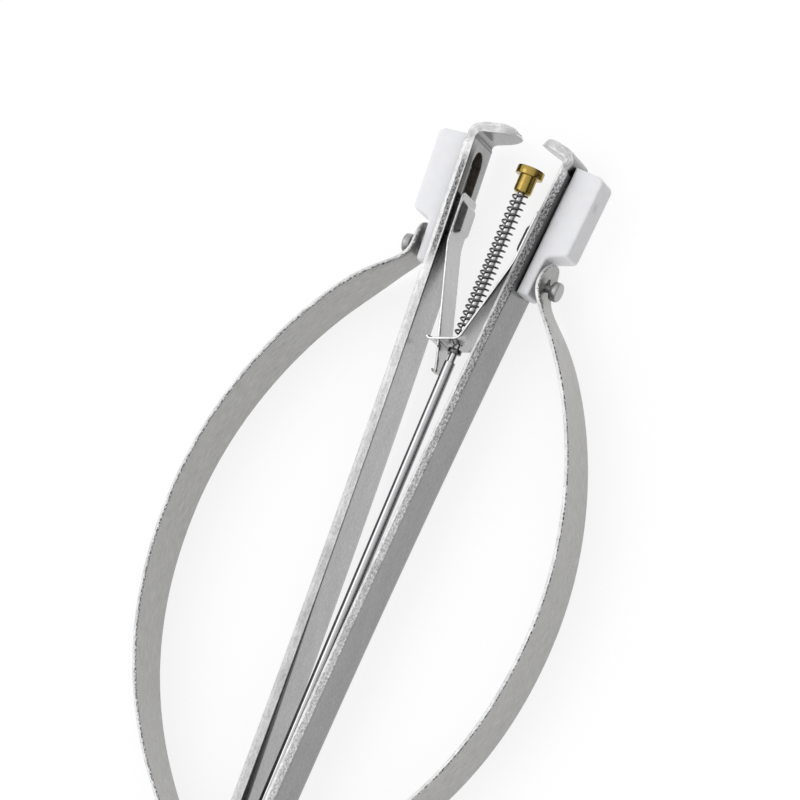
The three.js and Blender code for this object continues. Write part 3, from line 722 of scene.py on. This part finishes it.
def foot(side):
    mirrored = side == "left"
    inner, thin, thick, low, step, high = 1.0, 2.2, 4.1, -0.6, 3.95, 12.2
    round_off = 0.85
    outline = loop_of(
        [(inner, low), (thin - 0.4, low)],
        quadratic((thin - 0.4, low), (thin, low), (thin, low + 0.4), 6),
        straight((thin, low + 0.4), (thin, step - 1.0), 0.6),
        quadratic((thin, step - 1.0), (thin, step - 0.45), (thin + 0.5, step - 0.35), 8),
        quadratic((thick - 0.5, step), (thick, step + 0.1), (thick, step + 0.7), 8),
        straight((thick, step + 0.7), (thick, high - round_off), 0.9),
        quadratic((thick, high - round_off), (thick, high), (thick - round_off, high), 8),
        straight((thick - round_off, high), (inner, high), 0.8),
        straight((inner, high), (inner, low), 0.9),
    )
    grid = [
        (u, v)
        for u, v in rows(np.arange(1.5, 4.0, 0.6), np.arange(low + 0.6, high - 0.4, 0.6))
        if u < thin - 0.4 or (v > step + 0.9 and u < thick - 0.4 and v - u < high - thick + 0.1)
    ]
    body = sheet([outline], np.array(grid), on_arm, -1.6, 1.6, 0.28, 5)
    lug_loop = stadium(1.0, 2.75, 5.95)[::-1]
    lug_grid = rows((3.6, 4.3, 5.0), (0.0,))
    lug = sheet([lug_loop], lug_grid, lambda u, v, n: on_arm(n, u, v), -0.3, 1.2, 0.1)
    pin = [(0, 4.0), (0.42, 4.0), (0.42, 4.11), (0.38, 4.12), (0, 4.12)]
    end = lathe(pin, lambda a, b, along: on_arm(along, 9.4 + a, 0.5 + b), 32)
    made = make_object(side + "_foot_block", *merge(body, lug, end), [NYLON, NYLON], mirrored)
    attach(made, side + "_shoe")
    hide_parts(side + "_foot")
    stud = [
        (0, 1.25), (0.4, 1.25), (0.4, 3.57), (0.5, 3.6), (0.87, 3.6), (0.93, 3.66),
        (0.93, 4.16), (0.9, 4.27), (0.82, 4.34), (0.7, 4.365), (0, 4.38),
    ]  # fmt: skip
    shell = lathe(stud, lambda a, b, along: on_arm(along, 1.0 + a, b), 40)
    made = make_object(side + "_bow_stud", *shell, [RIVET], mirrored)
    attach(made, side + "_shoe")
    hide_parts(side + "_bow_rivet")


# ---------------------------------------------------------------- leaf springs

LEAF_BEND = (3.45, 74.4)
LEAF_TOP = (LEAF_BEND[0] + ARM_SLOPE * 4.7, 79.1)
RIGHT_LEAF_TOP = (LEAF_BEND[0] + ARM_SLOPE * 5.2, 79.6)
LEAF_ROUND = 0.35
BOSS = {"low": 74.95, "high": 78.72, "half": 1.8, "corner": 1.0, "flank": 0.75, "depth": 0.55}


def boss_shape(y, z):
    """The height of the pressed bulge, which has a flat top and round corners, and whether the
    place is on one of its two steep flanks, which are painted dark as shade."""
    over = max(BOSS["low"] - y, y - BOSS["high"]) + BOSS["corner"]
    aside = abs(z) - BOSS["half"] + BOSS["corner"]
    outside = math.hypot(max(over, 0), max(aside, 0)) + min(max(over, aside), 0)
    share = min(max((BOSS["corner"] - outside) / BOSS["flank"], 0), 1)
    # Painted shade: the flank faces marked here get a dark material.
    torn = 0.04 < share < 0.75 and aside > over
    return BOSS["depth"] * share * share * (3 - 2 * share), torn


def leaf(side):
    left = side == "left"
    if left:
        end, crossing = (0.18, 62.6), (0.56, 65.27)
        track = Track(
            quadratic((end[0] + 0.5, end[1] + 0.2), (end[0] + 0.15, end[1] - 0.3), end, 8),
            straight(end, crossing, 0.4)[:-1],
            corner(end, crossing, LEAF_BEND, 0.6, 8),
            straight(crossing, LEAF_BEND, 0.4)[2:-2],
            corner(crossing, LEAF_BEND, LEAF_TOP, 0.5, 8),
            straight(LEAF_BEND, LEAF_TOP, 0.3)[2:],
        )
        base_half, taper = 1.9, float(track.height(65.27))
        foot_half = 0.36
    else:
        tab_left, tab_right = (-1.26, 65.05), (1.4, 65.9)
        track = Track(
            quadratic((-1.61, 65.25), (-1.35, 65.0), tab_left, 6),
            straight(tab_left, tab_right, 0.3)[:-2],
            corner(tab_left, tab_right, LEAF_BEND, 0.5, 10),
            straight(tab_right, LEAF_BEND, 0.4)[2:-2],
            corner(tab_right, LEAF_BEND, RIGHT_LEAF_TOP, 0.5, 8),
            straight(LEAF_BEND, RIGHT_LEAF_TOP, 0.3)[2:],
        )
        base_half, taper = 2.38, 0.0
        foot_half = 2.38
    top = float(track.along[-1])
    bend = float(track.height(LEAF_BEND[1]))
    top_half = 1.93

    def half_at(u):
        if left and u < taper:
            return foot_half + (base_half - foot_half) * u / taper
        share = min(max((u - taper - 3.5) / (bend - taper - 3.5), 0), 1)
        return base_half + (top_half - base_half) * share

    us = [u for u in np.linspace(0.02, top - LEAF_ROUND, 60)]
    edge = np.array([(u, -half_at(u)) for u in us])
    outline = loop_of(
        edge,
        arc((top - LEAF_ROUND, -top_half + LEAF_ROUND), LEAF_ROUND, 270, 360, 8),
        arc((top - LEAF_ROUND, top_half - LEAF_ROUND), LEAF_ROUND, 0, 90, 8),
        edge[::-1] * (1, -1),
    )
    loops = [outline]
    if not left:

        def tab(x):
            return float(np.interp(x, track.points[:14, 0], track.along[:14]))

        loops.append(arc((tab(0.66), 0), 0.5, 360, 18, 19))
        window = [(tab(-0.32), -2.0), (tab(-0.8), -2.0), (tab(-0.8), 2.0), (tab(-0.32), 2.0)]
        loops.append(np.array(window))
    grid = []
    for u, v in rows(np.arange(0.3, top - 0.3, 0.4), np.arange(-2.0, 2.01, 0.5)):
        if abs(v) > half_at(u) - 0.2 or u > bend + 0.3:
            continue
        if not left and u < 3.2 and (abs(u - loops[1][:, 0].mean()) < 0.7 or u < 1.5):
            continue
        grid.append((u, v))
    grid += list(rows(np.arange(bend + 0.35, top - 0.15, 0.1), np.arange(-1.75, 1.76, 0.1)))

    def place(u, v, n):
        x, y = track.at(u, n)
        return x - boss_shape(y, v)[0], y, v

    shell = sheet(loops, np.array(grid), place, -0.1, 0.1, 0.04, 2)
    # Painted shade: the steep flank faces of the bulge get the dark third material.
    for index, face in enumerate(shell[1]):
        y, z = (sum(shell[0][i][axis] for i in face) / len(face) for axis in (1, 2))
        if shell[3][index] == 0 and boss_shape(y, z)[1]:
            shell[3][index] = 2
    made = make_object(side + "_leaf_spring", *shell, [LEAF_FACE, LEAF_EDGE, FLANK_PAINTED_SHADE], left)
    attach(made, "yoke")
    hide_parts(side + "_leaf")


# ---------------------------------------------------------------- plunger and tube


def turned(name, profile, material, body, node, sides=40):
    made = make_object(name, *lathe(profile, on_axis, sides), [material], False)
    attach(made, body)
    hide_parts(node)


def coil():
    radius, wire, turns, low, high = 0.68, 0.1, 24, 66.45, 80.8
    around, sides = 30, 10
    total = turns * around
    points, faces, uvs = [], [], []
    for i in range(total + 1):
        t = i / total
        angle = 2 * math.pi * turns * t
        share = t + 0.012 * (math.sin(2 * math.pi * t) if 0 < t < 1 else 0)
        along = low + (high - low) * share
        for k in range(sides):
            turn = 2 * math.pi * k / sides
            r = radius + wire * math.cos(turn)
            lift = along + wire * math.sin(turn)
            points.append(on_axis(r * math.cos(angle), r * math.sin(angle), lift))
            uvs.append((i * 0.02, k * 0.1, 0.0, 0.0))
    for i in range(total):
        for k in range(sides):
            m = (k + 1) % sides
            a, b = i * sides, (i + 1) * sides
            faces.append((a + k, b + k, b + m, a + m))
    faces.append(tuple(range(sides)))
    faces.append(tuple(range(total * sides + sides - 1, total * sides - 1, -1)))
    made = make_object("plunger_coil", points, faces, uvs, [0] * len(faces), [WIRE], False)
    ends = [metres(*on_axis(0, 0, along)) for along in (low, high)]
    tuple(ends[0])
    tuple(ends[1])
    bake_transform(made)
    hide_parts("plunger_spring")


def centre():
    tube = [
        (0.41, 7.05), (0.5, 7.05), (0.53, 7.08), (0.53, 63.84), (0.5, 63.9), (0.41, 63.9),
        (0.41, 7.05),
    ]  # fmt: skip
    turned("guide_pipe", tube, BRIGHT, "head", "guide_tube")
    rod = [(0, 55), (0.33, 55), (0.36, 55.05), (0.36, 82.4), (0, 82.4)]
    turned("plunger_pin", rod, BRIGHT, "plunger", "plunger_rod")
    tip = [
        (0, 82.45), (0.38, 82.45), (0.38, 80.95), (0.64, 80.95), (0.7, 80.97), (0.84, 81.12),
        (0.86, 81.18), (0.86, 82.58), (0.89, 82.65), (1.26, 82.65), (1.31, 82.67),
        (1.33, 82.72), (1.33, 83.38), (1.31, 83.43), (1.26, 83.45), (0.4, 83.45), (0, 83.44),
    ]  # fmt: skip
    turned("brass_tip", tip, BRASS, "plunger", "plunger_tip", 64)
    ring = [
        (0.38, 64.75), (0.62, 64.75), (0.66, 64.79), (0.66, 65.16), (0.62, 65.2), (0.38, 65.2),
        (0.38, 64.75),
    ]  # fmt: skip
    turned("stop_collar", ring, WIRE, "plunger", "stop_ring")


def head():
    half, low_corner = 2.65, 1.2
    outline = loop_of(
        arc((1.2, -half + low_corner), low_corner, 180, 270, 8),
        straight((1.2, -half), (9.5, -half), 0.8),
        [(9.5, -0.58), (7.0, -0.58), (7.0, 0.58), (9.5, 0.58)],
        straight((9.5, half), (1.2, half), 0.8),
        arc((1.2, half - low_corner), low_corner, 90, 180, 8),
    )
    grid = rows(np.arange(1.2, 6.5, 0.9), (-1.6, -0.8, 0, 0.8, 1.6))
    shell = sheet([outline], grid, lambda u, v, n: (n, u, v), -0.68, 0.68, 0.08)
    made = make_object("head_block", *shell, [ARM_FACE, ARM_EDGE["left"]], False)
    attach(made, "head")
    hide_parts("head_spacer")
    seat, end = 2.22, 2.72
    for name, y in (("rear", 2.3), ("front", 5.5)):
        half_profile = [(0.7, seat), (1.3, seat), (1.35, seat + 0.04), (1.35, seat + 0.12)]
        for angle in (12, 25, 40, 55, 70):
            a = math.radians(angle)
            rise = seat + 0.12 + (end - seat - 0.12) * math.sin(a)
            half_profile.append((1.35 * math.cos(a) ** 0.8, rise))
        half_profile.append((0, end))
        profile = [(r, -x) for r, x in reversed(half_profile)] + half_profile
        shell = lathe(profile, lambda a, b, along, y=y: (along, y + a, b), 40)
        made = make_object(name + "_stack_rivet", *shell, [RIVET], False)
        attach(made, "head")
        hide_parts(name + "_head_rivet")


for side in ("left", "right"):
    arm(side)
    bow(side)
    foot(side)
    leaf(side)
coil()
centre()
head()

# ---------------------------------------------------------------- setting


CAMERA_AT = (195.7, -12.7, 474.6)
CAMERA_TURN = (16.11874, 17.96177, 23.24195)  # degrees about X, Y and Z


def lay_floor():
    floor_mesh = bpy.data.meshes.new("floor")
    reach = 1.5
    corners = [(-reach, -reach, 0), (reach, -reach, 0), (reach, reach, 0), (-reach, reach, 0)]
    floor_mesh.from_pydata(corners, [], [(0, 1, 2, 3)])
    tree = Tree("pale_floor")
    tree.feed(Base_Color=(0.25, 0.25, 0.25, 1.0), Roughness=0.9)
    tree.feed(Emission_Color=(1.0, 1.0, 1.0, 1.0), Emission_Strength=0.78)
    floor_mesh.materials.append(tree.material)
    floor = bpy.data.objects.new("floor", floor_mesh)
    bpy.context.scene.collection.objects.link(floor)


def light_studio():
    """A sky that is brightest above and a little to the left, and one soft lamp."""
    world = bpy.data.worlds.new("studio")
    bpy.context.scene.world = world
    world.use_nodes = True
    nodes, links = world.node_tree.nodes, world.node_tree.links
    direction = nodes.new("ShaderNodeTexCoord")
    toward = nodes.new("ShaderNodeVectorMath")
    toward.operation = "DOT_PRODUCT"
    toward.inputs[1].default_value = (-0.22, 0.0, 0.45)
    links.new(direction.outputs["Generated"], toward.inputs[0])
    share = nodes.new("ShaderNodeMath")
    share.operation = "ADD"
    share.inputs[1].default_value = 0.5
    links.new(toward.outputs["Value"], share.inputs[0])
    ramp = nodes.new("ShaderNodeValToRGB")
    links.new(share.outputs[0], ramp.inputs["Fac"])
    stops = [(0.0, 0.03), (0.3, 0.12), (0.5, 0.4), (0.7, 0.75), (0.88, 0.9), (0.97, 1.0)]
    while len(ramp.color_ramp.elements) < len(stops):
        ramp.color_ramp.elements.new(0.5)
    for element, (position, level) in zip(ramp.color_ramp.elements, stops):
        element.position = position
        element.color = (level, level, level * 1.01, 1.0)
    links.new(ramp.outputs["Color"], nodes["Background"].inputs["Color"])
    nodes["Background"].inputs["Strength"].default_value = 1.05

    light = bpy.data.lights.new("key", "AREA")
    light.size = 0.5
    light.energy = 0.8
    lamp = bpy.data.objects.new("key", light)
    lamp.location = (-0.5, 0.0, 0.9)
    lamp.rotation_euler = (-lamp.location).to_track_quat("-Z", "Y").to_euler()
    bpy.context.scene.collection.objects.link(lamp)


def place_camera():
    data = bpy.data.cameras.new("camera")
    data.sensor_width = 36
    data.lens = 254.0
    data.clip_start, data.clip_end = 0.01, 10
    camera = bpy.data.objects.new("camera", data)
    camera.location = metres(*CAMERA_AT)
    camera.rotation_euler = [math.radians(angle) for angle in CAMERA_TURN]
    bpy.context.scene.collection.objects.link(camera)
    bpy.context.scene.camera = camera
    bpy.context.scene.view_settings.view_transform = "Standard"


lay_floor()
light_studio()
place_camera()
